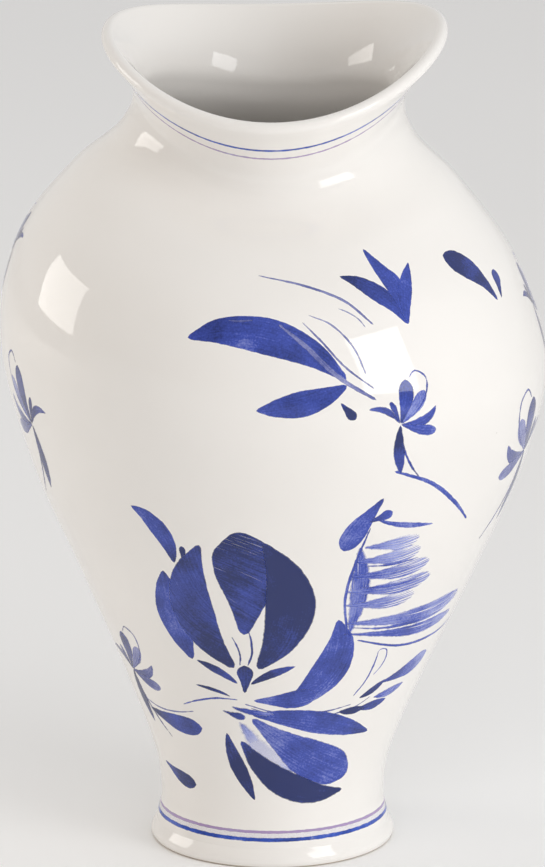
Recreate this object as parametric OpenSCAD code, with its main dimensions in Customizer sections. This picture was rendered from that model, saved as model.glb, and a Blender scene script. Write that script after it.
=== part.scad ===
// Baluster vase in glazed porcelain, with a hand-pulled, wave-shaped mouth.
// Millimetres, +Z up. The origin is on the floor, in the middle of the foot.
//
// The pot is drawn true first, as one outline of height and radius. A single
// field, set(), then gives it the lean and the wave of the real clay. Every
// section reads that outline and that field, so the sections always meet.

/* [Body] */
// Outside diameter at the widest ring
belly_d = 202.5; // [165:0.5:245]
// Rise from the waist above the foot to the widest ring
flank_h = 173; // [140:1:210]
// Rise from the widest ring to the narrowest ring of the neck
shoulder_h = 88; // [70:1:110]
// Outside diameter of the neck at its narrowest
neck_d = 100; // [80:1:120]
// Thickness of the clay wall
wall = 4.5; // [3.5:0.1:5.5]

/* [Mouth] */
// Rise from the narrowest ring of the neck to the middle of the lip
collar_h = 23.5; // [19:0.5:30]
// Outside diameter over the lip
mouth_d = 127; // [105:1:153]
// Thickness of the rounded lip
lip_t = 5; // [4:0.1:6]
// How far the two side lobes rise and the front and back dip
mouth_wave = 7; // [0:0.5:10]
// How far the back of the mouth stands above, and the front below, its middle
mouth_lean = 7.5; // [0:0.5:10]

/* [Foot] */
// Largest outside diameter of the foot
foot_d = 90.8; // [76:0.2:110]
// Height of the narrow waist above the foot
waist_h = 17; // [14:1:20]
// How far the waist is set in from the foot on each side
waist_in = 3.9; // [2.5:0.1:5]
// Height of the foot ring, up to the underside of the floor
foot_ring_h = 7; // [6:0.5:8]
// Width of the foot ring where it stands on the table
foot_ring_w = 6; // [5:0.5:8]
// Thickness of the floor inside the body
floor_t = 5; // [4:0.5:6]

/* [Hand of the potter] */
// How far the widest ring drops on one side and rises on the other
belly_lean = 5; // [0:0.5:8]
// How far the flank wanders to one side
flank_drift = 2; // [0:0.5:4]
// How far the shoulder wanders to the other side
shoulder_drift = 2.5; // [0:0.5:4]

/* [Painted bands] */
// Width of the blue line at the foot
foot_blue_w = 1.3; // [1:0.1:2]
// Rise from the top of the foot ring to the middle of the blue line
foot_blue_rise = 3.4; // [2:0.1:4]
// Width of the lilac line at the foot
foot_lilac_w = 0.9; // [0.6:0.1:1.5]
// Space between the middles of the two lines at the foot
foot_line_step = 2.8; // [2:0.1:3.5]
// Width of the blue line under the mouth
neck_blue_w = 0.9; // [0.6:0.1:1.2]
// Drop from the middle of the lip to the middle of the blue line
neck_blue_drop = 9.2; // [8:0.1:11]
// Width of the lilac line under the mouth
neck_lilac_w = 0.6; // [0.5:0.1:1]
// Space between the middles of the two lines under the mouth
neck_line_step = 3.9; // [2.5:0.1:4.5]
// Thickness of a painted line
paint_t = 0.15; // [0.1:0.05:0.3]

/* [Hidden] */

PORCELAIN = "#EBEAE6";
BARE_CLAY = "#E4D9CC";
BLUE = "#3F5FB4";
LILAC = "#B3A0BE";

SIDES = 60;      // flats round a ring of the hand-shaped sections
STEPS = 3;       // rings between two points of the outline
LIP_STEPS = 8;   // rings round the rounded lip
RING_FN = 96;

// Heights of the main rings
waist_z = waist_h;
belly_z = waist_z + flank_h;
neck_z = belly_z + shoulder_h;
lip_z = neck_z + collar_h;
foot_blue_z = foot_ring_h + foot_blue_rise;
neck_blue_z = lip_z - neck_blue_drop;

// Radii of the main rings
foot_r = foot_d / 2;
waist_r = foot_r - waist_in;
belly_r = belly_d / 2;
neck_r = neck_d / 2;

// Where the wall turns into the rounded lip, which leans out by lip_flare degrees
lip_flare = 35;
lip_start_z = lip_z - lip_t / 2 * sin(lip_flare);
lip_start_r = mouth_d / 2 - lip_t / 2 * (1 - cos(lip_flare));

// Rounding of the foot: it is widest at foot_wide_z, and stands on foot_stand_r
foot_wide_z = 2;
foot_stand_r = foot_r - 1.2;
foot_taper = 2.0;    // how much narrower the foot ring is at its top
floor_gap = 0.1;     // slip in the joint between the floor and the wall

// Points between two main rings, as parts of the rise and of the change in radius
FLANK = [[0.10, 0.04], [0.28, 0.24], [0.505, 0.53], [0.765, 0.85]];
SHOULDER = [[0.40, 0.17], [0.68, 0.56], [0.83, 0.87], [0.93, 0.98]];
COLLAR = [[0.12, 0.01], [0.46, 0.27], [0.78, 0.66]];

function between(shares, z0, r0, z1, r1) =
    [for (s = shares) [z0 + s[0] * (z1 - z0), r0 + s[1] * (r1 - r0)]];

// The outside from the top of the foot ring to the start of the lip: [height, radius]
outline = concat(
    [[foot_ring_h, foot_r - foot_taper]],
    [[waist_z, waist_r]],
    between(FLANK, waist_z, waist_r, belly_z, belly_r),
    [[belly_z, belly_r]],
    between(SHOULDER, belly_z, belly_r, neck_z, neck_r),
    [[neck_z, neck_r]],
    between(COLLAR, neck_z, neck_r, lip_start_z, lip_start_r),
    [[lip_start_z, lip_start_r]]);

SEAM_BELLY = len(FLANK) + 2;                  // place of the widest ring in the outline
SEAM_NECK = SEAM_BELLY + len(SHOULDER) + 1;   // place of the narrowest ring

// A smooth curve through the outline, with STEPS points between two of its own
function slope(p, i) =
    let (a = max(i - 1, 0), b = min(i + 1, len(p) - 1))
    (p[b] - p[a]) / (reach(p, a, b));
function reach(p, a, b) = b == a + 1 ? norm(p[b] - p[a])
    : norm(p[a + 1] - p[a]) + norm(p[b] - p[a + 1]);
function hermite(p, i, u) =
    let (h = norm(p[i + 1] - p[i]))
    (2 * u ^ 3 - 3 * u ^ 2 + 1) * p[i] + (u ^ 3 - 2 * u ^ 2 + u) * h * slope(p, i)
    + (3 * u ^ 2 - 2 * u ^ 3) * p[i + 1] + (u ^ 3 - u ^ 2) * h * slope(p, i + 1);
function smooth(p) = concat(
    [for (i = [0:len(p) - 2], k = [0:STEPS - 1]) hermite(p, i, k / STEPS)],
    [p[len(p) - 1]]);

outside = smooth(outline);
last = len(outside) - 1;

// The inside is the outside moved in by the wall, square to the surface
function inward(p, i) =
    let (t = p[min(i + 1, len(p) - 1)] - p[max(i - 1, 0)])
    [t[1], -t[0]] / norm(t);
function wall_at(i) = wall + (lip_t - wall) * ramp(outside[i][0], neck_z, lip_z);
inside = [for (i = [0:last]) outside[i] + wall_at(i) * inward(outside, i)];

// The rounded lip joins the last point outside to the last point inside
lip_mid = (outside[last] + inside[last]) / 2;
lip_out = outside[last] - lip_mid;
lip_up = [lip_out[1] * -1, lip_out[0]];
lip = [for (k = [1:LIP_STEPS - 1])
    lip_mid + cos(180 * k / LIP_STEPS) * lip_out - sin(180 * k / LIP_STEPS) * lip_up];

// Radius of the outside at height z, on the straight line between two rings
function outside_r(z) = lookup(z, outside);

// Smooth steps used by the lean and the wave
function ramp(z, a, b) =
    let (t = max(0, min(1, (z - a) / (b - a)))) t * t * (3 - 2 * t);
function bump(z, middle, half) =
    let (d = min(1, abs(z - middle) / half)) (1 + cos(180 * d)) / 2;

// The shaped pot: a point of the true pot at height z, radius r and angle a
function drift(z) =
    flank_drift * bump(z, waist_z + 0.62 * flank_h, 0.6 * flank_h)
    - shoulder_drift * bump(z, belly_z + 0.63 * shoulder_h, 0.8 * shoulder_h)
    + ramp(z, neck_z, lip_z);
function rise(z, a) =
    (ramp(z, neck_z, lip_z) - belly_lean * bump(z, belly_z + 0.26 * shoulder_h, shoulder_h))
        * cos(a)
    + mouth_lean * ramp(z, belly_z + 0.18 * shoulder_h, lip_z) * sin(a)
    + mouth_wave * ramp(z, belly_z + 0.23 * shoulder_h, neck_z + 0.3 * collar_h) * cos(2 * a);
function set(p, a) =
    [drift(p[0]) + p[1] * cos(a), p[1] * sin(a), p[0] + rise(p[0], a)];

// A closed outline of [height, radius] points turned about Z and set by hand
module shaped(loop) {
    n = len(loop);
    points = [for (j = [0:SIDES - 1], p = loop) set(p, 360 * j / SIDES)];
    function at(j, i) = (j % SIDES) * n + i % n;
    faces = [for (j = [0:SIDES - 1], i = [0:n - 1], side = [0, 1])
        side == 0 ? [at(j, i), at(j, i + 1), at(j + 1, i + 1)]
                  : [at(j, i), at(j + 1, i + 1), at(j + 1, i)]];
    polyhedron(points, faces, convexity = 6);
}

// One section of the wall between two places in the outline
function section(a, b) = concat(
    [for (i = [STEPS * a:STEPS * b]) outside[i]],
    [for (i = [STEPS * b:-1:STEPS * a]) inside[i]]);

// A painted line of width w around the pot, lying on the outside at height z
function band(z, w) = [
    [z - w / 2, outside_r(z - w / 2)],
    [z - w / 2, outside_r(z - w / 2) + paint_t],
    [z + w / 2, outside_r(z + w / 2) + paint_t],
    [z + w / 2, outside_r(z + w / 2)]];

// The turned foot ring, with a bare standing edge and a recess inside it
module foot_ring() {
    top_out = outside[0];
    top_in = inside[0];
    color(BARE_CLAY)
    rotate_extrude($fn = RING_FN)
    polygon([
        [foot_stand_r - foot_ring_w, 0],
        [foot_stand_r, 0],
        [foot_r - 0.5, 0.6],
        [foot_r, foot_wide_z],
        [foot_r - 0.3, foot_wide_z + 1.8],
        [top_out[1], top_out[0]],
        [top_in[1], top_in[0]],
        [top_in[1] - 2, foot_ring_h],
        [foot_stand_r - foot_ring_w - 0.6, 0.8]]);
}

// The floor of the pot, a disc that sits on the foot ring inside the wall
module base_disc() {
    color(PORCELAIN)
    rotate_extrude($fn = RING_FN)
    polygon([
        [0, foot_ring_h],
        [inside_r(foot_ring_h) - floor_gap, foot_ring_h],
        [inside_r(foot_ring_h + floor_t) - floor_gap, foot_ring_h + floor_t],
        [0, foot_ring_h + floor_t]]);
}
function inside_r(z) = lookup(z, inside);

module lower_body() {
    color(PORCELAIN) shaped(section(0, SEAM_BELLY));
}

module upper_body() {
    color(PORCELAIN) shaped(section(SEAM_BELLY, SEAM_NECK));
}

module mouth_collar() {
    color(PORCELAIN)
    shaped(concat(
        [for (i = [STEPS * SEAM_NECK:last]) outside[i]],
        lip,
        [for (i = [last:-1:STEPS * SEAM_NECK]) inside[i]]));
}

module foot_line_blue() {
    color(BLUE) shaped(band(foot_blue_z, foot_blue_w));
}

module foot_line_lilac() {
    color(LILAC) shaped(band(foot_blue_z + foot_line_step, foot_lilac_w));
}

module neck_line_blue() {
    color(BLUE) shaped(band(neck_blue_z, neck_blue_w));
}

module neck_line_lilac() {
    color(LILAC) shaped(band(neck_blue_z - neck_line_step, neck_lilac_w));
}

foot_ring();
base_disc();
lower_body();
upper_body();
mouth_collar();
foot_line_blue();
foot_line_lilac();
neck_line_blue();
neck_line_lilac();
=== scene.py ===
import math
from bisect import bisect_right
from collections import namedtuple

import bpy
from mathutils import Matrix, Vector


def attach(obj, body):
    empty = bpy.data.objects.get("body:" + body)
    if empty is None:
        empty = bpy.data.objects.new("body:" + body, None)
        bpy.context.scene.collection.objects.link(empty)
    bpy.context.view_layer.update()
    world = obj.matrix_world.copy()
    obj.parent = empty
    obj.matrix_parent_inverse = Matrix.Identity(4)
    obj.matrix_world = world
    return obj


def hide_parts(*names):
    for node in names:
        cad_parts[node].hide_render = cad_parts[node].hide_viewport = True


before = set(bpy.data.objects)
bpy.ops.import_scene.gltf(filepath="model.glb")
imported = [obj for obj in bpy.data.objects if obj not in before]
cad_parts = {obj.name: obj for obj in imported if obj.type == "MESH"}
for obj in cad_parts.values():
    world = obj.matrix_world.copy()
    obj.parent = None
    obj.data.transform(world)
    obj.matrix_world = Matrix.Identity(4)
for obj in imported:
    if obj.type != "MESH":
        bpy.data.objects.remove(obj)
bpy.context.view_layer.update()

bl_info = {
    "name": "Porcelain Baluster Vase",
    "version": (1, 0, 0),
    "blender": (4, 5, 0),
    "location": "View3D > Sidebar > Vase",
    "description": "Builds a hand-painted porcelain vase on its CAD frame",
    "category": "Add Mesh",
}

MM = 0.001


# ---------------------------------------------------------------- settings

def linear(hex_colour):
    """Turn an sRGB hex colour into linear red, green and blue."""
    channels = [int(hex_colour[i:i + 2], 16) / 255 for i in (1, 3, 5)]
    return [c / 12.92 if c <= 0.04045 else ((c + 0.055) / 1.055) ** 2.4 for c in channels]


def length(name, description, millimetres):
    return bpy.props.FloatProperty(name=name, description=description, unit="LENGTH",
                                   precision=5, default=millimetres * MM)


def colour(name, description, hex_colour):
    return bpy.props.FloatVectorProperty(name=name, description=description, subtype="COLOR",
                                         min=0, max=1, default=linear(hex_colour))


class VASE_PG_sizes(bpy.types.PropertyGroup):
    """The driving sizes of the pot, which give it the shape of its CAD frame"""
    belly: length("Belly", "Outside diameter at the widest ring", 202.5)
    flank: length("Flank", "Rise from the waist above the foot to the widest ring", 173)
    shoulder: length("Shoulder", "Rise from the widest ring to the narrowest ring of the neck", 88)
    neck: length("Neck", "Outside diameter of the neck at its narrowest", 100)
    wall: length("Wall", "Thickness of the clay wall", 4.5)
    collar: length("Collar", "Rise from the narrowest ring to the middle of the lip", 23.5)
    mouth: length("Mouth", "Outside diameter over the lip", 127)
    lip: length("Lip", "Thickness of the rounded lip", 5)
    mouth_wave: length("Mouth wave", "How far the side lobes rise and the front and back dip", 7)
    mouth_lean: length("Mouth lean", "How far the back of the mouth stands above its middle", 7.5)
    foot: length("Foot", "Largest outside diameter of the foot", 90.8)
    waist_rise: length("Waist rise", "Height of the narrow waist above the foot", 17)
    waist: length("Waist", "Outside diameter of the waist", 83)
    ring_rise: length("Foot ring rise", "Height of the foot ring", 7)
    ring_width: length("Foot ring width", "Width of the foot ring where it stands", 6)
    floor: length("Floor", "Thickness of the floor inside the body", 5)
    belly_lean: length("Belly lean", "How far the widest ring drops on one side", 5)
    flank_drift: length("Flank drift", "How far the flank wanders to one side", 2)
    shoulder_drift: length("Shoulder drift", "How far the shoulder wanders to the other side", 2.5)
    paint: length("Paint", "Height of the first layer of paint over the clay", 0.045)
    layer: length("Layer", "Height of one layer of paint over the next", 0.015)
    film: length("Film", "Thickness of one layer of paint", 0.01)
    sides: bpy.props.IntProperty(name="Sides", description="Faces round each ring of the pot",
                                 default=240, min=48, max=480)


class VASE_PG_colours(bpy.types.PropertyGroup):
    """The colours of the clay, the glaze and the paint"""
    porcelain: colour("Porcelain", "The white body under its clear glaze", "#F5F2EE")
    bare_clay: colour("Bare clay", "The unglazed edge that the pot stands on", "#D9CBBB")
    cobalt_deep: colour("Cobalt, deep", "Where the brush left most colour", "#1C2B66")
    cobalt: colour("Cobalt", "A full stroke", "#3D51B2")
    cobalt_thin: colour("Cobalt, thin", "A watered stroke", "#A0A9E0")
    grey_deep: colour("Grey blue, deep", "Where the grey-blue brush left most colour", "#262C58")
    grey: colour("Grey blue", "A full grey-blue stroke", "#525B9C")
    grey_thin: colour("Grey blue, thin", "A watered grey-blue stroke", "#A2A6D2")
    lilac: colour("Lilac", "The thin lilac bands", "#A993BD")
    bright_blue: colour("Bright blue", "The blue bands at the foot and the neck", "#3557BE")


def sizes():
    return bpy.context.scene.vase_sizes


def colours():
    return bpy.context.scene.vase_colours


# ---------------------------------------------------------------- shape of the pot

Outline = namedtuple("Outline", "points belly neck")

# Points between two main rings, as parts of the rise and of the change in radius
FLANK = [(0.10, 0.04), (0.28, 0.24), (0.505, 0.53), (0.765, 0.85)]
SHOULDER = [(0.40, 0.17), (0.68, 0.56), (0.83, 0.87), (0.93, 0.98)]
COLLAR = [(0.12, 0.01), (0.46, 0.27), (0.78, 0.66)]
LIP_FLARE = math.radians(35)
LIP_STEPS = 18
RING_STEP = 2.0       # mm between two rings of the mesh
GUARD = 0.3           # mm from a seam to the ring that keeps its shading true
CREASE = math.radians(40)   # folds sharper than this stay sharp

# The foot ring, in mm
RING_TOP_INSET = 2.0  # from its widest edge in to its top
STAND_INSET = 1.2     # from its widest edge in to where it stands
SIDE_OF_RING = ((0.6, 0.5), (2.0, 0.0), (3.8, 0.3))   # height, and how far in from the widest edge
BARE_EDGE = 0.7       # height up to which the glaze was wiped off
FLOOR_GAP = 0.1       # between the floor disc and the wall


def ramp(z, low, high):
    """A smooth step from 0 at low to 1 at high."""
    t = max(0.0, min(1.0, (z - low) / (high - low)))
    return t * t * (3 - 2 * t)


def bump(z, middle, half):
    """A smooth hump of height 1, which ends half away from its middle."""
    return (1 + math.cos(math.pi * min(1.0, abs(z - middle) / half))) / 2


def tangent(points, i):
    a, b = max(i - 1, 0), min(i + 1, len(points) - 1)
    chord = sum((points[k + 1] - points[k]).length for k in range(a, b))
    return (points[b] - points[a]) / chord


def on_curve(points, i, u):
    """The point at u of the smooth curve between points i and i + 1."""
    h = (points[i + 1] - points[i]).length
    return ((2 * u ** 3 - 3 * u ** 2 + 1) * points[i] + (u ** 3 - 2 * u ** 2 + u) * h * tangent(points, i)
            + (3 * u ** 2 - 2 * u ** 3) * points[i + 1] + (u ** 3 - u ** 2) * h * tangent(points, i + 1))


class Pot:
    """The outline of the pot in millimetres, and the lean and wave of its clay."""

    def __init__(self):
        s = sizes()
        mm = {key: getattr(s, key) / MM for key in VASE_PG_sizes.__annotations__ if key != "sides"}
        self.size = mm
        self.ring_z = mm["ring_rise"]
        self.waist_z = mm["waist_rise"]
        self.belly_z = self.waist_z + mm["flank"]
        self.neck_z = self.belly_z + mm["shoulder"]
        self.lip_z = self.neck_z + mm["collar"]
        self.foot_r = mm["foot"] / 2
        self.outline = self.main_outline()
        self.outside, self.seams = self.sampled()
        self.inside = [p + self.wall(p.x) * self.inward(i) for i, p in enumerate(self.outside)]
        self.heights = [p.x for p in self.outside]

    def main_outline(self):
        """The outside as [height, radius] points, and the places of its two seams."""
        mm = self.size
        waist, belly, neck = mm["waist"] / 2, mm["belly"] / 2, mm["neck"] / 2
        lip_z = self.lip_z - mm["lip"] / 2 * math.sin(LIP_FLARE)
        lip_r = mm["mouth"] / 2 - mm["lip"] / 2 * (1 - math.cos(LIP_FLARE))

        def between(shares, z0, r0, z1, r1):
            return [(z0 + a * (z1 - z0), r0 + b * (r1 - r0)) for a, b in shares]

        points = [(self.ring_z, self.foot_r - RING_TOP_INSET), (self.waist_z, waist)]
        points += between(FLANK, self.waist_z, waist, self.belly_z, belly)
        belly_at = len(points)
        points += [(self.belly_z, belly)]
        points += between(SHOULDER, self.belly_z, belly, self.neck_z, neck)
        neck_at = len(points)
        points += [(self.neck_z, neck)]
        points += between(COLLAR, self.neck_z, neck, lip_z, lip_r) + [(lip_z, lip_r)]
        return Outline([Vector(p) for p in points], belly_at, neck_at)

    def sampled(self):
        """Rings about RING_STEP apart, with a guard ring on each side of a seam."""
        points, belly_at, neck_at = self.outline
        rings, seams = [], []
        for i in range(len(points) - 1):
            h = (points[i + 1] - points[i]).length
            count = math.ceil(h / RING_STEP)
            shares = [k / count for k in range(count)]
            if i in (belly_at, neck_at):
                seams.append(len(rings))
                shares.insert(1, GUARD / h)
            if i + 1 in (belly_at, neck_at):
                shares.append(1 - GUARD / h)
            rings += [on_curve(points, i, u) for u in shares]
        return rings + [points[-1]], seams

    def inward(self, i):
        t = self.outside[min(i + 1, len(self.outside) - 1)] - self.outside[max(i - 1, 0)]
        return Vector((t.y, -t.x)).normalized()

    def wall(self, z):
        wall, lip = self.size["wall"], self.size["lip"]
        return wall + (lip - wall) * ramp(z, self.neck_z, self.lip_z)

    def lip(self):
        """The half round that joins the outside to the inside at the mouth."""
        middle = (self.outside[-1] + self.inside[-1]) / 2
        out = self.outside[-1] - middle
        up = Vector((out.y, -out.x))
        turns = [math.pi * k / LIP_STEPS for k in range(1, LIP_STEPS)]
        return [middle + math.cos(t) * out + math.sin(t) * up for t in turns]

    def section(self, first, last):
        """The closed outline of the wall between two rings."""
        return self.outside[first:last + 1] + self.inside[first:last + 1][::-1]

    def across(self, z):
        """Radius of the outside, and how much it grows for each millimetre of height."""
        i = max(1, min(len(self.heights) - 1, bisect_right(self.heights, z)))
        a, b = self.outside[i - 1], self.outside[i]
        slope = (b.y - a.y) / (b.x - a.x)
        return a.y + slope * (z - a.x), slope

    def drift(self, z):
        mm = self.size
        flank = mm["flank_drift"] * bump(z, self.waist_z + 0.62 * mm["flank"], 0.6 * mm["flank"])
        shoulder = mm["shoulder_drift"] * bump(z, self.belly_z + 0.63 * mm["shoulder"],
                                               0.8 * mm["shoulder"])
        return flank - shoulder + ramp(z, self.neck_z, self.lip_z)

    def rise(self, z, a):
        mm = self.size
        side = ramp(z, self.neck_z, self.lip_z) - mm["belly_lean"] * bump(
            z, self.belly_z + 0.26 * mm["shoulder"], mm["shoulder"])
        lean = mm["mouth_lean"] * ramp(z, self.belly_z + 0.18 * mm["shoulder"], self.lip_z)
        wave = mm["mouth_wave"] * ramp(z, self.belly_z + 0.23 * mm["shoulder"],
                                       self.neck_z + 0.3 * mm["collar"])
        return side * math.cos(a) + lean * math.sin(a) + wave * math.cos(2 * a)

    def set(self, z, r, a):
        """A point of the true pot, moved by the lean and the wave of the clay, in metres."""
        return Vector((self.drift(z) + r * math.cos(a), r * math.sin(a), z + self.rise(z, a))) * MM

    def painted(self, turn, z, proud):
        """A place on the outside: degrees to the right of the front, height and height of paint."""
        r, slope = self.across(z)
        tilt = math.hypot(1, slope)
        return self.set(z - slope / tilt * proud, r + proud / tilt, math.radians(turn - 90))


# ---------------------------------------------------------------- modelling

def clear_selection():
    for other in bpy.context.selected_objects:
        other.select_set(False)


def named(name):
    piece = bpy.context.object
    piece.name = name
    piece.data.name = name
    return piece


def finish_piece(piece, slot, *nodes):
    """Ride on the body and stand for the CAD nodes. The slot is not used."""
    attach(piece, "root")
    for node in nodes:
        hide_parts(node)


def turned(name, loop, move=None):
    """Turn a closed outline of [height, radius] points about Z into a solid."""
    clear_selection()
    bpy.ops.mesh.primitive_circle_add(vertices=len(loop), radius=1, fill_type="NOTHING")
    piece = named(name)
    for vertex, point in zip(piece.data.vertices, loop):
        vertex.co = (point[1] * MM, 0, point[0] * MM)
    bpy.ops.object.mode_set(mode="EDIT")
    bpy.ops.mesh.select_all(action="SELECT")
    bpy.ops.mesh.spin(steps=sizes().sides, angle=math.tau, center=(0, 0, 0), axis=(0, 0, 1))
    bpy.ops.mesh.select_all(action="SELECT")
    bpy.ops.mesh.remove_doubles(threshold=0.01 * MM)
    bpy.ops.mesh.normals_make_consistent(inside=False)
    bpy.ops.object.mode_set(mode="OBJECT")
    if move:
        for vertex in piece.data.vertices:
            x, y, z = vertex.co / MM
            vertex.co = move(z, math.hypot(x, y), math.atan2(y, x))
    bpy.ops.object.shade_smooth_by_angle(angle=CREASE)
    return piece


# ---------------------------------------------------------------- brush strokes

# A stroke follows its points: degrees to the right of the front, height and width in mm.
# tones: how much colour the brush left from start to end. dry: how far the hairs part, also
# from start to end. soft: mm over which its edge fades. slant: degrees that its hairs turn.
Stroke = namedtuple("Stroke", "points tones dry layer soft slant", defaults=(0.7, 0, 1, 0.3, 0))

FULL_TURN = 360  # degrees
ALONG = 1.3      # mm between two rows of faces along a stroke
ACROSS = 1.6     # mm between two rows of faces across a stroke
TIP = 0.06       # mm, the width that a pointed end keeps
UV_SPAN = 100    # mm of clay for one unit of a stroke's UV map
FILM_CREASE = math.radians(35)


def local_scale(pot, z):
    """Millimetres on the clay for one degree round the pot, and for one of height."""
    r, slope = pot.across(z)
    return math.radians(r), math.hypot(1, slope)


def laid_out(pot, points):
    """Rows along a stroke: turn, height, width, distance from the start."""
    keys = [Vector(p) for p in points]
    rows, travelled = [], 0.0
    for i in range(len(keys) - 1):
        per_turn, per_height = local_scale(pot, (keys[i].y + keys[i + 1].y) / 2)
        step = keys[i + 1] - keys[i]
        span = math.hypot(step.x * per_turn, step.y * per_height)
        count = max(3, math.ceil(span / ALONG))
        rows += [on_curve(keys, i, k / count) for k in range(count)]
    rows.append(keys[-1])
    out = [(rows[0], 0.0)]
    for a, b in zip(rows, rows[1:]):
        per_turn, per_height = local_scale(pot, b.y)
        travelled += math.hypot((b.x - a.x) * per_turn, (b.y - a.y) * per_height)
        out.append((b, travelled))
    return out


def along(values, share):
    """The value at a share of the way along a list of values, or the one value there is."""
    if not isinstance(values, tuple):
        return values
    place = share * (len(values) - 1)
    i = min(int(place), max(len(values) - 2, 0))
    return values[i] + (values[min(i + 1, len(values) - 1)] - values[i]) * (place - i)


def rounded(width, distance):
    """Width of a stroke near an end that is as round as it is wide."""
    radius = max(width / 2, TIP)
    short = max(0.0, 1 - distance / radius)
    return max(TIP, width * math.sqrt(max(0.0, 1 - short * short)))


def brush(pot, stroke):
    """Lay one stroke on the pot as a sheet of faces that keeps its direction as a UV map."""
    rows = laid_out(pot, stroke.points)
    total = rows[-1][1]
    widest = max(p[2] for p in stroke.points)
    lanes = max(4, math.ceil(widest / ACROSS))
    clear_selection()
    bpy.ops.mesh.primitive_grid_add(x_subdivisions=len(rows) - 1, y_subdivisions=lanes, size=1)
    piece = named("stroke")
    proud = pot.size["paint"] + pot.size["layer"] * stroke.layer
    slant = Matrix.Rotation(math.radians(stroke.slant), 2)
    spare = 0.15 + 0.8 * stroke.soft   # mm of width that the faded edge takes away again
    places, uvs = [], []
    marks = {"edge": [], "tone": [], "dry": [], "soft": []}
    closed = stroke.points[-1][0] - stroke.points[0][0] == FULL_TURN
    for vertex in piece.data.vertices:
        i = round((vertex.co.x + 0.5) * (len(rows) - 1))
        side = vertex.co.y * 2
        row, distance = rows[i]
        ahead, behind = rows[min(i + 1, len(rows) - 1)][0], rows[max(i - 1, 0)][0]
        per_turn, per_height = local_scale(pot, row.y)
        way = Vector(((ahead.x - behind.x) * per_turn, (ahead.y - behind.y) * per_height)).normalized()
        width = row.z + spare
        if not closed:
            width = rounded(rounded(width, distance), total - distance)
        off = side * width / 2
        turn = row.x - way.y * off / per_turn
        places.append(pot.painted(turn, row.y + way.x * off / per_height, proud))
        uvs.append(slant @ Vector((distance / UV_SPAN, off / UV_SPAN)))
        to_side = (1 - abs(side)) * width / 2
        marks["edge"].append(to_side if closed else min(to_side, distance, total - distance))
        marks["tone"].append(along(stroke.tones, distance / total))
        marks["dry"].append(along(stroke.dry, distance / total))
        marks["soft"].append(stroke.soft)
    for vertex, place in zip(piece.data.vertices, places):
        vertex.co = place
    uv_map = piece.data.uv_layers.active
    uv_map.name = "brush"
    for loop in piece.data.loops:
        uv_map.data[loop.index].uv = uvs[loop.vertex_index]
    for key, values in marks.items():
        attribute = piece.data.attributes.new(name=key, type="FLOAT", domain="POINT")
        attribute.data.foreach_set("value", values)
    return piece


def painting(name, strokes, material, slot, *nodes):
    """Join the marks or strokes of one part of the painting and give the film its thickness."""
    pot = Pot()
    pieces = [brush(pot, placed(pot, one) if isinstance(one, Mark) else one) for one in strokes]
    clear_selection()
    for piece in pieces:
        piece.select_set(True)
    bpy.context.view_layer.objects.active = pieces[0]
    if len(pieces) > 1:
        bpy.ops.object.join()
    piece = named(name)
    bpy.ops.object.mode_set(mode="EDIT")
    bpy.ops.mesh.select_all(action="SELECT")
    bpy.ops.mesh.remove_doubles(threshold=0.001 * MM)
    bpy.ops.mesh.normals_make_consistent(inside=False)
    bpy.ops.object.mode_set(mode="OBJECT")
    outward = sum(p.normal.dot(p.center.normalized()) for p in piece.data.polygons)
    if outward < 0:
        bpy.ops.object.mode_set(mode="EDIT")
        bpy.ops.mesh.flip_normals()
        bpy.ops.object.mode_set(mode="OBJECT")
    solid = piece.modifiers.new("film", "SOLIDIFY")
    solid.thickness = pot.size["film"] * MM
    solid.offset = -1
    bpy.ops.object.modifier_apply(modifier="film")
    bpy.ops.object.shade_smooth_by_angle(angle=FILM_CREASE)
    piece.data.materials.append(material)
    # A film this thin stops no light on its way to the clay under it
    piece.visible_shadow = False
    piece.visible_diffuse = False
    finish_piece(piece, slot, *nodes)


# ---------------------------------------------------------------- materials

# Sizes of the patterns in the finishes, in metres
GLAZE_WAVES = 0.045        # slow waves that dipping leaves
GLAZE_PITS = 0.0032        # fine pits, like the skin of an orange
WHITE_CLOUDS = 0.06        # warmer and whiter places in the body
SPECK_SPACING = 0.016      # one iron speck in each cube this wide, seen only where it meets the glaze
CLAY_GRIT = 0.0006
EDGE_TREMBLE = 0.0022      # how far apart the dents in a painted edge are
PAINT_POOLS = 0.011        # darker places where the wet paint gathered
PAINT_GRAIN = 0.0007
FLOOR_CLOUDS = 0.4

# One hair of the brush leaves a streak this long and this wide, in millimetres
HAIR_LENGTH = 30
HAIR_WIDTH = 0.7

IRON_SPECK = "#8D8276"
ROOM_LIGHT = "#F4F4F4"
ROOM_DIM = "#B7ADA3"
FLOOR_SHADES = ("#F8F8F8", "#FCFCFC")

# The colour sockets of a mix node
MIX_A = 6
MIX_B = 7
MIX_RESULT = 2


def add(tree, kind, links=(), **settings):
    """Add a node, set its properties and inputs, and link other sockets to its inputs."""
    node = tree.nodes.new(kind)
    for key, value in settings.items():
        if hasattr(node, key):
            setattr(node, key, value)
        else:
            node.inputs[key.replace("_", " ")].default_value = value
    for key, socket in dict(links).items():
        tree.links.new(socket, node.inputs[key])
    return node


def new_material(name):
    material = bpy.data.materials.new(name)
    material.use_nodes = True
    material.node_tree.nodes.clear()
    return material


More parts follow.
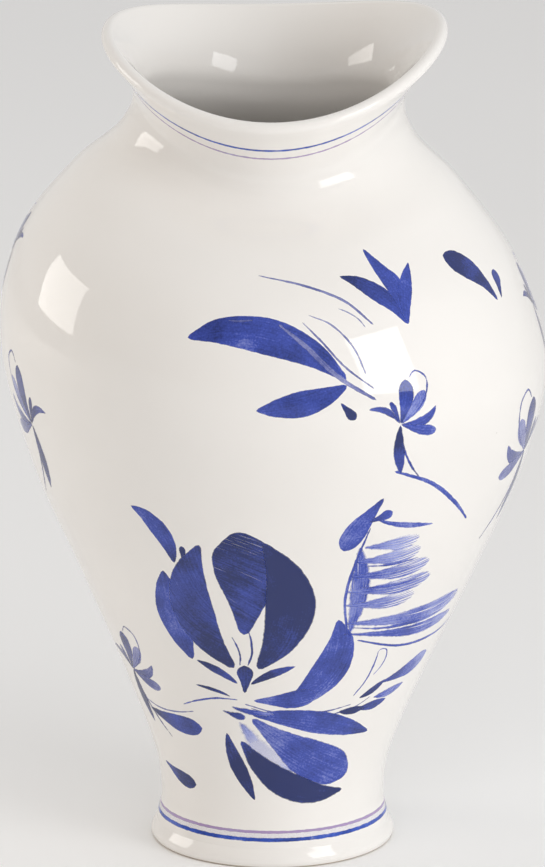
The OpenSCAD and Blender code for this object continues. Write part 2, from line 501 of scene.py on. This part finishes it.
def glazed(tree, base_socket, cover=None):
    """Glossy glaze over the colour, with slow waves from dipping and fine pits.

    Where cover is less than 1, what lies under the paint shows through it.
    """
    place = add(tree, "ShaderNodeTexCoord").outputs["Object"]
    waves = add(tree, "ShaderNodeTexNoise", {"Vector": place}, Scale=1 / GLAZE_WAVES, Detail=1.5)
    pits = add(tree, "ShaderNodeTexNoise", {"Vector": place}, Scale=1 / GLAZE_PITS, Detail=1.0)
    slow = add(tree, "ShaderNodeBump", {"Height": waves.outputs["Fac"]}, Strength=1.0, Distance=0.00045)
    fine = add(tree, "ShaderNodeBump",
               {"Height": pits.outputs["Fac"], "Normal": slow.outputs["Normal"]},
               Strength=1.0, Distance=0.000004)
    shader = add(tree, "ShaderNodeBsdfPrincipled",
                 {"Base Color": base_socket, "Normal": fine.outputs["Normal"]}, Roughness=0.05, IOR=1.5)
    surface = shader.outputs["BSDF"]
    if cover:
        clear = add(tree, "ShaderNodeBsdfTransparent")
        seen = add(tree, "ShaderNodeMixShader", {"Fac": cover, 1: clear.outputs["BSDF"], 2: surface})
        surface = seen.outputs["Shader"]
    add(tree, "ShaderNodeOutputMaterial", {"Surface": surface})


def rgba(values):
    return (*values, 1.0)


def glazed_porcelain():
    """White porcelain fired under a clear glaze: even and warm, with a few iron specks."""
    material = new_material("glazed_porcelain")
    tree = material.node_tree
    place = add(tree, "ShaderNodeTexCoord").outputs["Object"]
    cloud = add(tree, "ShaderNodeTexNoise", {"Vector": place}, Scale=1 / WHITE_CLOUDS, Detail=2.0)
    white = colours().porcelain
    shades = add(tree, "ShaderNodeValToRGB", {"Fac": cloud.outputs["Fac"]})
    shades.color_ramp.elements[0].position = 0.3
    shades.color_ramp.elements[0].color = rgba(c * 0.965 for c in white)
    shades.color_ramp.elements[1].position = 0.7
    shades.color_ramp.elements[1].color = rgba(white)
    dots = add(tree, "ShaderNodeTexVoronoi", {"Vector": place}, Scale=1 / SPECK_SPACING)
    spot = add(tree, "ShaderNodeMapRange", {"Value": dots.outputs["Distance"]},
               From_Min=0.0, From_Max=0.028, To_Min=0.45, To_Max=0.0)
    speck = add(tree, "ShaderNodeMix", {"Factor": spot.outputs["Result"]}, data_type="RGBA")
    tree.links.new(shades.outputs["Color"], speck.inputs[MIX_A])
    speck.inputs[MIX_B].default_value = rgba(linear(IRON_SPECK))
    glazed(tree, speck.outputs[MIX_RESULT])
    return material


def bare_clay():
    """The wiped foot: fine unglazed porcelain, matt, warm and slightly gritty."""
    material = new_material("bare_porcelain_clay")
    tree = material.node_tree
    place = add(tree, "ShaderNodeTexCoord").outputs["Object"]
    grain = add(tree, "ShaderNodeTexNoise", {"Vector": place}, Scale=1 / CLAY_GRIT, Detail=4.0)
    clay = colours().bare_clay
    shades = add(tree, "ShaderNodeValToRGB", {"Fac": grain.outputs["Fac"]})
    shades.color_ramp.elements[0].color = rgba(c * 0.8 for c in clay)
    shades.color_ramp.elements[1].color = rgba(clay)
    grit = add(tree, "ShaderNodeBump", {"Height": grain.outputs["Fac"]}, Strength=0.6, Distance=0.00008)
    shader = add(tree, "ShaderNodeBsdfPrincipled",
                 {"Base Color": shades.outputs["Color"], "Normal": grit.outputs["Normal"]},
                 Roughness=0.72, IOR=1.5)
    add(tree, "ShaderNodeOutputMaterial", {"Surface": shader.outputs["BSDF"]})
    return material


def calculate(tree, operation, *values):
    """One sum on sockets or numbers."""
    node = add(tree, "ShaderNodeMath", operation=operation)
    for socket, value in zip(node.inputs, values):
        if isinstance(value, (int, float)):
            socket.default_value = value
        else:
            tree.links.new(value, socket)
    return node.outputs["Value"]


def underglaze_paint(name, thin, full, deep):
    """Brushed oxide under the glaze: hair streaks along the stroke and an uneven edge."""
    found = bpy.data.materials.get(name)
    if found:
        return found
    material = new_material(name)
    tree = material.node_tree
    place = add(tree, "ShaderNodeTexCoord").outputs["Object"]
    along_brush = add(tree, "ShaderNodeUVMap", uv_map="brush").outputs["UV"]
    hairs = add(tree, "ShaderNodeMapping", {"Vector": along_brush},
                Scale=(UV_SPAN / HAIR_LENGTH, UV_SPAN / HAIR_WIDTH, 1))
    streak = add(tree, "ShaderNodeTexNoise", {"Vector": hairs.outputs["Vector"]},
                 Scale=1.0, Detail=2.5, Roughness=0.6).outputs["Fac"]
    tremble = add(tree, "ShaderNodeTexNoise", {"Vector": place},
                  Scale=1 / EDGE_TREMBLE, Detail=2.0).outputs["Fac"]
    pool = add(tree, "ShaderNodeTexNoise", {"Vector": place},
               Scale=1 / PAINT_POOLS, Detail=4.0).outputs["Fac"]
    edge = add(tree, "ShaderNodeAttribute", attribute_name="edge").outputs["Fac"]
    tone = add(tree, "ShaderNodeAttribute", attribute_name="tone").outputs["Fac"]
    dry = add(tree, "ShaderNodeAttribute", attribute_name="dry").outputs["Fac"]
    soft = add(tree, "ShaderNodeAttribute", attribute_name="soft").outputs["Fac"]
    grain = add(tree, "ShaderNodeTexNoise", {"Vector": place},
                Scale=1 / PAINT_GRAIN, Detail=1.0).outputs["Fac"]

    # The edge trembles, more where it was painted wet and soft, and fades over its softness.
    # The tremble only eats into the stroke, so that nothing is seen of the rim of the sheet.
    tremor = calculate(tree, "MULTIPLY", calculate(tree, "SUBTRACT", tremble, 0.74),
                       calculate(tree, "MULTIPLY_ADD", soft, 0.8, 0.3))
    inset = calculate(tree, "ADD", edge, tremor)
    cover = add(tree, "ShaderNodeMapRange", {"Value": inset, "From Max": soft},
                interpolation_type="SMOOTHSTEP", From_Min=0.0).outputs["Result"]
    # A dry brush leaves bare clay between its hairs, and a watered one lets the clay through
    parted = calculate(tree, "SUBTRACT", streak, calculate(tree, "MULTIPLY", dry, 0.62))
    hair_cover = add(tree, "ShaderNodeMapRange", {"Value": parted}, interpolation_type="SMOOTHSTEP",
                     From_Min=-0.04, From_Max=0.14).outputs["Result"]
    body = add(tree, "ShaderNodeMapRange", {"Value": tone}, interpolation_type="SMOOTHSTEP",
               From_Min=0.0, From_Max=0.3).outputs["Result"]
    density = calculate(tree, "MULTIPLY", calculate(tree, "MULTIPLY", cover, hair_cover), body)

    streaked = calculate(tree, "MULTIPLY", calculate(tree, "SUBTRACT", streak, 0.5),
                         calculate(tree, "MULTIPLY_ADD", dry, 1.1, 0.3))
    pooled = calculate(tree, "MULTIPLY", calculate(tree, "SUBTRACT", pool, 0.5), 0.75)
    grained = calculate(tree, "MULTIPLY", calculate(tree, "SUBTRACT", grain, 0.5), 0.4)
    strength = calculate(tree, "ADD", calculate(tree, "ADD", tone, grained),
                         calculate(tree, "ADD", streaked, pooled))
    ink = add(tree, "ShaderNodeValToRGB", {"Fac": strength})
    stops = ink.color_ramp
    stops.elements[0].position = 0.15
    stops.elements[0].color = rgba(thin)
    stops.elements[1].position = 0.95
    stops.elements[1].color = rgba(deep)
    stops.elements.new(0.58).color = rgba(full)
    glazed(tree, ink.outputs["Color"], density)
    return material


def cobalt():
    """Cobalt oxide, the strong blue of the large strokes."""
    c = colours()
    return underglaze_paint("cobalt_underglaze", c.cobalt_thin, c.cobalt, c.cobalt_deep)


def grey_blue():
    """Cobalt let down with a little manganese, greyer than the strong blue."""
    c = colours()
    return underglaze_paint("grey_blue_underglaze", c.grey_thin, c.grey, c.grey_deep)


def bright_blue():
    """The clear blue of the bands, drawn on a turning wheel."""
    c = colours()
    return underglaze_paint("bright_blue_underglaze", c.cobalt_thin, c.bright_blue, c.cobalt_deep)


def lilac():
    """Thin manganese lilac of the fine bands."""
    c = colours()
    return underglaze_paint("lilac_underglaze", c.grey_thin, c.lilac, c.lilac)


# ---------------------------------------------------------------- the painting

# The shapes that every mark of the painting is one of: side, ahead and width at points from its
# start, as shares of its length. They are the plain strokes of any blue-and-white ware.
SHAPES = {
    "leaf": [(0, 0, 0.03), (0.04, 0.25, 0.17), (0.05, 0.52, 0.24), (0.03, 0.78, 0.17), (0, 1, 0.02)],
    "petal": [(0, 0, 0.04), (0.03, 0.28, 0.18), (0.05, 0.58, 0.34), (0.03, 0.83, 0.33), (0, 1, 0.12)],
    "sickle": [(0, 0, 0.03), (0.12, 0.24, 0.17), (0.17, 0.5, 0.24), (0.12, 0.77, 0.18), (-0.02, 1, 0.02)],
    "drop": [(0, 0, 0.05), (0.02, 0.4, 0.3), (0.02, 0.75, 0.5), (0, 1, 0.25)],
    "stem": [(0, 0, 0.015), (0.07, 0.35, 0.025), (0.04, 0.7, 0.025), (-0.04, 1, 0.01)],
    "curl": [(0, 0, 0.02), (0.12, 0.3, 0.04), (0.14, 0.62, 0.04), (0, 0.9, 0.04), (-0.22, 0.9, 0.04),
             (-0.26, 0.7, 0.02)],
}

# A shape at its own place: degrees round the pot from the front, height and length in mm, and the
# angle it points in, from straight up round to the right
Mark = namedtuple("Mark", "shape turn z angle length fat tones dry layer soft slant mirror",
                  defaults=(1, 0.7, 0.05, 1, 0.3, 0, 1))


def placed(pot, mark):
    """Turn a mark into the stroke that draws it."""
    angle = math.radians(mark.angle)
    points = []
    for side, ahead, width in SHAPES[mark.shape]:
        side *= mark.length * mark.mirror
        ahead *= mark.length
        across = ahead * math.sin(angle) + side * math.cos(angle)
        up = ahead * math.cos(angle) - side * math.sin(angle)
        per_turn, per_height = local_scale(pot, mark.z + up)
        points.append((mark.turn + across / per_turn, mark.z + up / per_height,
                       width * mark.length * mark.fat))
    return Stroke(points, mark.tones, mark.dry, mark.layer, mark.soft, mark.slant)


def whole_flower(turn, z, size, mirror):
    """One whole flower, with its tendril to the right, or to the left where mirror is -1.

    Each part is a shape, an angle, a length in mm, a fatness, tones, dryness and a layer.
    """
    parts = [("sickle", 70, 40, 1, (0.8, 0.6, 0.5), 0.25, 1), ("petal", 12, 42, 1, (0.9, 0.7, 0.75), 0.1, 2),
             ("petal", 104, 38, 0.8, (0.7, 0.55, 0.4), 0.4, 3), ("petal", 42, 40, 0.8, (0.5, 0.3), 0.5, 0),
             ("leaf", 176, 52, 0.9, (0.95, 0.85, 0.75), 0.05, 1), ("stem", 160, 66, 1.4, 0.7, 0, 0),
             ("sickle", -62, 34, 0.8, (0.85, 0.6), 0.2, 1), ("curl", 36, 56, 0.8, 0.6, 0, 1),
             ("drop", -22, 24, 0.5, (0.9, 0.7), 0, 1)]
    return [Mark(shape, turn, z, mirror * angle, size * length, fat, tones, dry, layer, 0.5, 0, mirror)
            for shape, angle, length, fat, tones, dry, layer in parts]


# A tulip over the middle of the front, with its stamens, sepals and the leaf beside it
GREAT_FLOWER = [
    Mark("petal", -10, 98, 1, 48, 1.45, (0.75, 0.85, 0.95), (0.3, 0.5), 1, 0.5, -60),
    Mark("sickle", -14, 83, -9, 58, 1.25, (0.95, 0.75, 0.85), (0.1, 0.35, 0.3), 2, 0.4, -30, -1),
    Mark("sickle", -6, 83, 5, 60, 1.3, (0.85, 1.1, 1.0), 0.15, 3, 0.6),
    Mark("drop", -11, 72, 2, 14, 0.9, (0.8, 1.0), 0.2, 4),
    Mark("stem", -12, 84, -7, 15, 2, 0.8, 0, 4),
    Mark("stem", -9.5, 84, 6, 18, 2, 0.8, 0, 4),
    Mark("leaf", -13, 76, -58, 19, 0.8, 0.85, 0, 5),
    Mark("leaf", -9, 76, 62, 20, 0.8, (0.9, 0.7), 0, 5, 0.3, 0, -1),
    Mark("sickle", 3, 66, 26, 46, 1.35, (0.5, 0.65, 0.6), 0.15, 1),
    Mark("petal", -8, 69, 83, 24, 1, (0.5, 0.65, 0.6), 0.1, 2),
    Mark("leaf", -16, 70, -74, 15, 0.5, 0.85, 0, 1),
    Mark("stem", -13, 69, 258, 25, 1.3, 0.6, 0, 0),
]

# Leaves and petals up and down the left of the front
LEFT_PETALS = [
    Mark("leaf", -28.5, 85, -5, 42, 1.4, (0.75, 0.6, 0.65, 0.8), 0.1, 1, 0.3, 0, -1),
    Mark("sickle", -27, 127, -30, 27, 1.25, (0.85, 0.65, 0.6), 0.1),
    Mark("drop", -24.5, 127, 6, 9, 0.6, 0.95),
    Mark("leaf", -20, 54, 164, 30, 0.85, (0.8, 1.0, 1.05), 0.1),
    Mark("petal", -61, 57, 96, 27, 0.9, (0.9, 0.75, 0.7)),
    Mark("petal", -66, 34, 107, 19, 0.9, (0.85, 0.95)),
]

# A bloom that hangs over the flank, watered at its heart and dark along its lowest petal
LOW_FLOWER = [
    Mark("petal", -14, 60, 148, 33, 0.95, (0.4, 0.12, 0.1, 0.2), 0.3, 0, 2.2),
    Mark("petal", -9, 61, 128, 46, 1.05, (0.45, 0.6, 0.65), (0.3, 0.15), 2, 0.7),
    Mark("leaf", -9, 63, 106, 48, 0.9, (0.6, 0.6, 0.7), 0.1, 3, 0.3, 0, -1),
    Mark("sickle", -14, 51, 123, 45, 1.05, (0.8, 1.05, 1.1, 0.95), 0.15, 4, 0.6),
    Mark("drop", -21, 64, 108, 10, 0.7, (1.0, 0.6), 0.2, 5, 0.8),
    Mark("leaf", -17, 66, 100, 17, 0.7, (0.7, 0.35), 0.3, 4, 0.8),
]

# Petals drawn with a nearly dry brush, out to the right from one watered edge
STREAKED_PETALS = [
    Mark("leaf", 22, 97, -4, 42, 0.8, (0.4, 0.55, 0.4), 0.5, 0, 1.4),
    Mark("petal", 20, 102, 89, 60, 0.42, (0.45, 0.4, 0.2), (0.4, 0.7), 1, 1),
    Mark("petal", 20, 97.5, 93, 58, 0.28, (0.6, 0.55, 0.3), (0.35, 0.65), 2, 0.8),
    Mark("petal", 18.5, 110, 88, 31, 0.6, (0.5, 0.35, 0.2), (0.35, 0.8), 3, 1),
    Mark("petal", 18, 116, 87, 38, 0.55, (0.45, 0.4, 0.2), (0.4, 0.75), 1, 1),
    Mark("petal", 18.5, 122.5, 86, 35, 0.6, (0.5, 0.4, 0.2), (0.4, 0.75), 2, 1),
    Mark("petal", 19.5, 129, 85, 28, 0.75, (0.4, 0.3, 0.2), (0.4, 0.75), 1, 1),
    Mark("petal", 21, 135, 86, 24, 0.75, (0.4, 0.3, 0.2), (0.4, 0.75), 2, 1),
    Mark("leaf", 22, 100, 92, 48, 0.14, (0.65, 0.45), 0.4, 4, 0.6),
    Mark("leaf", 21, 118, 91, 30, 0.2, (0.65, 0.45), 0.4, 4, 0.6),
    Mark("leaf", 22, 127, 90, 24, 0.22, (0.6, 0.45), 0.4, 4, 0.6),
    Mark("stem", 21.5, 97, -1, 50, 1, 0.6, 0, 4, 0.3, 0, -1),
    Mark("leaf", 23, 147, 104, 27, 0.4, (0.65, 0.5, 0.35), 0.15, 2),
    Mark("drop", 21.5, 146, 68, 10, 0.9, 0.7, 0.05, 3),
    Mark("petal", 24.5, 156, 208, 27, 0.95, (0.7, 0.5, 0.6), 0.1),
    Mark("stem", 26, 167, 126, 50, 1.4, (0.55, 0.65), 0, 1, 0.3, 0, -1),
    Mark("stem", 25, 94, 97, 62, 0.8, (0.7, 0.45), 0, 2),
]

# Small leaves low on the right
LOW_RIGHT = [
    Mark("leaf", 25.5, 62.5, 90, 12, 1.3, 1.0, 0.1),
    Mark("leaf", 34, 62.5, 84, 14, 1.3, (0.95, 0.75), 0.1),
    Mark("leaf", 33, 67, 58, 13, 1.1, (1.0, 0.75), 0.1, 2),
    Mark("petal", 42, 72, 72, 26, 0.85, (0.75, 0.55, 0.4), 0.3),
    Mark("leaf", 40, 66, 80, 17, 1, (0.6, 0.4), 0.3, 0, 0.8),
    Mark("stem", 30, 68, 18, 22, 1.4, 0.6, 0),
    Mark("curl", 36, 76, 12, 14, 1, 0.55, 0),
]

# Two long leaves over the belly, with a bud
HIGH_LEAVES = [
    Mark("sickle", 16, 204, -76, 58, 1.1, (0.6, 0.7, 0.65, 0.75), 0.1, 1),
    Mark("leaf", 16, 202, -106, 36, 1.1, (0.75, 0.65), 0.1, 2, 0.3, 0, -1),
    Mark("drop", 14, 196, 140, 9, 0.9, 0.9, 0, 2),
]

# Leaves on the right of the shoulder, with a petal and its bud beside them
SHOULDER_LEAVES = [
    Mark("leaf", 33, 222, -30, 34, 0.95, (0.7, 0.75, 0.95), 0.15, 1),
    Mark("leaf", 33, 222, -6, 40, 0.8, (0.65, 0.7), 0.05, 2),
    Mark("leaf", 33, 222, 18, 30, 0.8, 0.7, 0.05, 3, 0.3, 0, -1),
    Mark("petal", 64, 222, -30, 30, 0.95, (0.8, 0.85, 0.9), 0.05, 1),
    Mark("drop", 66, 222, 20, 12, 0.9, 0.8, 0, 2),
]

# A small flower right of the front, just under the widest ring
BLOSSOM = whole_flower(27, 186, 0.42, 1)

# Fine stems and lines in grey blue
FINE_STEMS = [
    Mark("stem", 22, 196, -44, 46, 1.6, 0.4, 0.15, 3, 0.3, 0, -1),
    Mark("stem", 22, 200, -38, 38, 0.9, 0.45, 0, 2, 0.3, 0, -1),
    Mark("stem", 20.5, 205, -28, 34, 0.9, 0.4, 0, 1),
    Mark("stem", 22.5, 222, -40, 14, 1.5, 0.4, 0, 1),
    Mark("stem", 24.5, 223, -46, 44, 1.1, 0.45, 0, 0),
    Mark("leaf", -9, 224.5, 84, 10, 0.5, 0.5, 0.5, 1),
    Mark("stem", -12, 67.5, 96, 42, 0.8, 0.5, 0, 0),
    Mark("stem", -10, 66, 99, 36, 0.9, 0.5, 0, 0),
    Mark("stem", 24, 62, 72, 16, 1.4, 0.5, 0, 0),
    Mark("stem", -64, 61, 91, 30, 0.9, 0.5, 0, 2),
]

# Small grey-blue flowers on the left side
LEFT_SPRAY = [*whole_flower(-66, 168, 0.5, -1), *whole_flower(-64, 72, 0.45, 1),
              *whole_flower(-88, 224, 0.35, -1)]

# Small grey-blue flowers on the right side
RIGHT_SPRAY = [*whole_flower(74, 158, 0.6, -1), *whole_flower(86, 212, 0.4, 1)]

# Flowers round the back, each at its own size, some of them mirrored
BACK_FLOWERS = [*whole_flower(178, 118, 1.0, 1), *whole_flower(132, 150, 0.8, -1),
                *whole_flower(228, 140, 0.8, 1), *whole_flower(158, 212, 0.5, 1),
                *whole_flower(205, 210, 0.55, -1), *whole_flower(250, 72, 0.5, -1),
                *whole_flower(112, 84, 0.5, 1), *whole_flower(118, 226, 0.4, -1)]


# Heights of the bands in mm: at the foot above the table, at the neck below the middle of the lip
FOOT_BLUE_Z = 10.4
FOOT_WASH_Z = 11.8
FOOT_LILAC_Z = 13.2
NECK_BLUE_DROP = 9.2
NECK_LILAC_DROP = 13.1


def band(z, width, tone, layer):
    """A line drawn right round the pot while it turns."""
    stops = 24
    return Stroke([(FULL_TURN * k / stops, z, width) for k in range(stops + 1)], tone, 0, layer)


# ---------------------------------------------------------------- stage

CAMERA_HEIGHT = 15.81     # degrees over the horizon
CAMERA_DISTANCE = 4.0     # m
CAMERA_LENS = 447         # mm on a 36 mm sensor
AIM = Vector((0, 0, 0.1553))


def toward(azimuth, elevation, distance):
    """A place seen from AIM: azimuth from the camera's side, positive to the right."""
    a, e = math.radians(azimuth), math.radians(elevation)
    return AIM + distance * Vector((math.sin(a) * math.cos(e), -math.cos(a) * math.cos(e), math.sin(e)))


def aim_at_pot(thing):
    thing.rotation_euler = (AIM - thing.location).to_track_quat("-Z", "Y").to_euler()


def softbox(name, azimuth, elevation, distance, width, height, power, hex_colour):
    """A square fabric light box."""
    bpy.ops.object.light_add(type="AREA", location=toward(azimuth, elevation, distance))
    light = bpy.context.object
    light.name = name
    light.data.shape = "RECTANGLE"
    light.data.size = width
    light.data.size_y = height
    light.data.energy = power
    light.data.color = linear(hex_colour)
    aim_at_pot(light)
    return light


def studio_air():
    """A pale room, darker and warmer on the left, where the light is turned away."""
    world = bpy.data.worlds.new("studio")
    world.use_nodes = True
    tree = world.node_tree
    tree.nodes.clear()
    way = add(tree, "ShaderNodeTexCoord").outputs["Generated"]
    dim = toward(-58, 15, 1) - AIM
    facing = add(tree, "ShaderNodeVectorMath", operation="DOT_PRODUCT")
    tree.links.new(way, facing.inputs[0])
    facing.inputs[1].default_value = dim
    share = add(tree, "ShaderNodeMapRange", {"Value": facing.outputs["Value"]},
                interpolation_type="SMOOTHSTEP", From_Min=0.3, From_Max=0.9)
    air = add(tree, "ShaderNodeMix", {"Factor": share.outputs["Result"]}, data_type="RGBA")
    air.inputs[MIX_A].default_value = rgba(linear(ROOM_LIGHT))
    air.inputs[MIX_B].default_value = rgba(linear(ROOM_DIM))
    light = add(tree, "ShaderNodeBackground", {"Color": air.outputs[MIX_RESULT]}, Strength=0.76)
    add(tree, "ShaderNodeOutputWorld", {"Surface": light.outputs["Background"]})
    bpy.context.scene.world = world


def plaster_floor():
    """A smooth pale studio floor, matt, with a hardly visible cloud in its white."""
    material = new_material("matt_white_floor")
    tree = material.node_tree
    place = add(tree, "ShaderNodeTexCoord").outputs["Object"]
    cloud = add(tree, "ShaderNodeTexNoise", {"Vector": place}, Scale=1 / FLOOR_CLOUDS, Detail=2.0)
    shades = add(tree, "ShaderNodeValToRGB", {"Fac": cloud.outputs["Fac"]})
    for stop, shade in zip(shades.color_ramp.elements, FLOOR_SHADES):
        stop.color = rgba(linear(shade))
    shader = add(tree, "ShaderNodeBsdfPrincipled", {"Base Color": shades.outputs["Color"]},
                 Roughness=0.55, IOR=1.45)
    add(tree, "ShaderNodeOutputMaterial", {"Surface": shader.outputs["BSDF"]})
    return material


# ---------------------------------------------------------------- operators

class VASE_OT_stage(bpy.types.Operator):
    """Set up the floor, the lights and the camera"""
    bl_idname = "vase.stage"
    bl_label = "Stage"

    def execute(self, context):
        clear_selection()
        bpy.ops.mesh.primitive_circle_add(vertices=128, radius=12, fill_type="NGON")
        floor = named("studio_floor")
        floor.data.materials.append(plaster_floor())
        studio_air()
        softbox("left_softbox", -102, 15, 1.5, 0.68, 0.66, 5, "#FFFBF5")
        softbox("right_softbox", 50, 17, 1.5, 0.64, 0.76, 6.5, "#FFFFFF")
        front = softbox("front_light", 0, 48, 2.5, 2.0, 2.0, 9, "#FFFFFF")
        front.visible_glossy = False
        bpy.ops.object.camera_add(location=toward(0, CAMERA_HEIGHT, CAMERA_DISTANCE))
        camera = context.object
        camera.name = "camera"
        camera.data.lens = CAMERA_LENS
        camera.data.sensor_width = 36
        camera.data.clip_end = 60
        aim_at_pot(camera)
        context.scene.camera = camera
        context.scene.view_settings.view_transform = "Standard"
        return {"FINISHED"}


class VASE_OT_foot_ring(bpy.types.Operator):
    """Turn the foot ring, glazed outside and bare where it stands"""
    bl_idname = "vase.foot_ring"
    bl_label = "Foot ring"

    def execute(self, context):
        pot = Pot()
        top_out, top_in = pot.outside[0], pot.inside[0]
        foot_r = pot.foot_r
        stand_out = foot_r - STAND_INSET
        stand_in = stand_out - pot.size["ring_width"]
        # From the rounded standing edge out, up over the glazed side, and down inside the recess
        outer = [Vector((z, foot_r - inset)) for z, inset in SIDE_OF_RING] + [top_out]
        curve = [on_curve(outer, i, k / 5) for i in range(3) for k in range(5)]
        loop = [(0.0, stand_in), (0.0, stand_out - 0.4), (0.06, stand_out - 0.1), (0.25, stand_out + 0.3)]
        loop += [tuple(p) for p in curve] + [tuple(top_out), tuple(top_in)]
        loop += [(pot.ring_z, top_in[1] - 2), (0.8, stand_in - 0.6), (0.25, stand_in - 0.4)]
        piece = turned("foot_ring_clay", loop)
        piece.data.materials.append(glazed_porcelain())
        piece.data.materials.append(bare_clay())
        for face in piece.data.polygons:
            face.material_index = int(face.center.z < BARE_EDGE * MM)
        finish_piece(piece, "foot_porcelain", "foot_ring")
        return {"FINISHED"}


class VASE_OT_floor(bpy.types.Operator):
    """Turn the floor disc that closes the pot over its foot ring"""
    bl_idname = "vase.floor"
    bl_label = "Floor of the pot"

    def execute(self, context):
        pot = Pot()
        low, high = pot.ring_z, pot.ring_z + pot.size["floor"]
        reach = [p.y for p in pot.inside if p.x <= high]
        loop = [(low, 0), (low, reach[0] * 0.5), (low, reach[0] - FLOOR_GAP), (high, reach[-1] - FLOOR_GAP),
                (high, reach[-1] * 0.8), (high, reach[-1] * 0.4), (high, 0)]
        piece = turned("floor_disc_clay", loop)
        piece.data.materials.append(glazed_porcelain())
        finish_piece(piece, "porcelain", "base_disc")
        return {"FINISHED"}


class VASE_OT_body(bpy.types.Operator):
    """Turn the three sections of the wall and set their lean and wave"""
    bl_idname = "vase.body"
    bl_label = "Body and mouth"

    def execute(self, context):
        pot = Pot()
        belly, neck = pot.seams
        last = len(pot.outside) - 1
        mouth = pot.outside[neck:] + pot.lip() + pot.inside[neck:][::-1]
        loops = {"lower_body": pot.section(0, belly), "upper_body": pot.section(belly, neck),
                 "mouth_collar": mouth}
        material = glazed_porcelain()
        for node, loop in loops.items():
            piece = turned(node + "_clay", loop, pot.set)
            piece.data.materials.append(material)
            finish_piece(piece, "porcelain", node)
        return {"FINISHED"}


class VASE_OT_bands(bpy.types.Operator):
    """Draw the blue and lilac lines at the foot and under the mouth"""
    bl_idname = "vase.bands"
    bl_label = "Painted bands"

    def execute(self, context):
        lip_z = Pot().lip_z
        blue, violet = bright_blue(), lilac()
        painting("foot_blue_band", [band(FOOT_BLUE_Z, 1.5, 0.65, 2)], blue, "cobalt_blue",
                 "foot_line_blue")
        painting("foot_lilac_band", [band(FOOT_WASH_Z, 2.4, 0.06, 0), band(FOOT_LILAC_Z, 1.1, 0.6, 1)],
                 violet, "lilac", "foot_line_lilac")
        painting("neck_blue_band", [band(lip_z - NECK_BLUE_DROP, 1.1, 0.65, 1)], blue, "cobalt_blue",
                 "neck_line_blue")
        painting("neck_lilac_band", [band(lip_z - NECK_LILAC_DROP, 0.8, 0.6, 1)], violet, "lilac",
                 "neck_line_lilac")
        return {"FINISHED"}


class VASE_OT_front_painting(bpy.types.Operator):
    """Paint the flowers, petals and leaves over the front"""
    bl_idname = "vase.front_painting"
    bl_label = "Front painting"

    def execute(self, context):
        groups = {"great_flower": GREAT_FLOWER, "left_petals": LEFT_PETALS, "low_flower": LOW_FLOWER,
                  "streaked_petals": STREAKED_PETALS, "low_right_leaves": LOW_RIGHT,
                  "high_leaves": HIGH_LEAVES, "shoulder_leaves": SHOULDER_LEAVES, "blossom": BLOSSOM}
        for name, strokes in groups.items():
            painting(name + "_paint", strokes, cobalt(), "cobalt_blue")
        painting("fine_stems_paint", FINE_STEMS, grey_blue(), "lilac")
        return {"FINISHED"}


class VASE_OT_side_painting(bpy.types.Operator):
    """Paint the small grey-blue flowers on the left and the right side"""
    bl_idname = "vase.side_painting"
    bl_label = "Side painting"

    def execute(self, context):
        painting("left_spray_paint", LEFT_SPRAY, grey_blue(), "cobalt_blue")
        painting("right_spray_paint", RIGHT_SPRAY, grey_blue(), "cobalt_blue")
        return {"FINISHED"}


class VASE_OT_back_painting(bpy.types.Operator):
    """Paint the flowers round the back"""
    bl_idname = "vase.back_painting"
    bl_label = "Back painting"

    def execute(self, context):
        painting("back_flowers_paint", BACK_FLOWERS, cobalt(), "cobalt_blue")
        return {"FINISHED"}


class VASE_PT_panel(bpy.types.Panel):
    """Builds the vase step by step"""
    bl_idname = "VASE_PT_panel"
    bl_label = "Porcelain Vase"
    bl_space_type = "VIEW_3D"
    bl_region_type = "UI"
    bl_category = "Vase"

    def draw(self, context):
        column = self.layout.column(align=True)
        for operator in OPERATORS:
            column.operator(operator.bl_idname)
        for group in (context.scene.vase_sizes, context.scene.vase_colours):
            box = self.layout.box()
            for key in group.__annotations__:
                box.prop(group, key)


OPERATORS = (VASE_OT_stage, VASE_OT_foot_ring, VASE_OT_floor, VASE_OT_body, VASE_OT_bands,
             VASE_OT_front_painting, VASE_OT_side_painting, VASE_OT_back_painting)
CLASSES = (VASE_PG_sizes, VASE_PG_colours, *OPERATORS, VASE_PT_panel)


def register():
    for cls in CLASSES:
        bpy.utils.register_class(cls)
    bpy.types.Scene.vase_sizes = bpy.props.PointerProperty(type=VASE_PG_sizes)
    bpy.types.Scene.vase_colours = bpy.props.PointerProperty(type=VASE_PG_colours)


def unregister():
    del bpy.types.Scene.vase_sizes
    del bpy.types.Scene.vase_colours
    for cls in reversed(CLASSES):
        bpy.utils.unregister_class(cls)


def main():
    register()
    bpy.ops.vase.stage()
    bpy.ops.vase.foot_ring()
    bpy.ops.vase.floor()
    bpy.ops.vase.body()
    bpy.ops.vase.bands()
    bpy.ops.vase.front_painting()
    bpy.ops.vase.side_painting()
    bpy.ops.vase.back_painting()


if __name__ == "__main__":
    main()
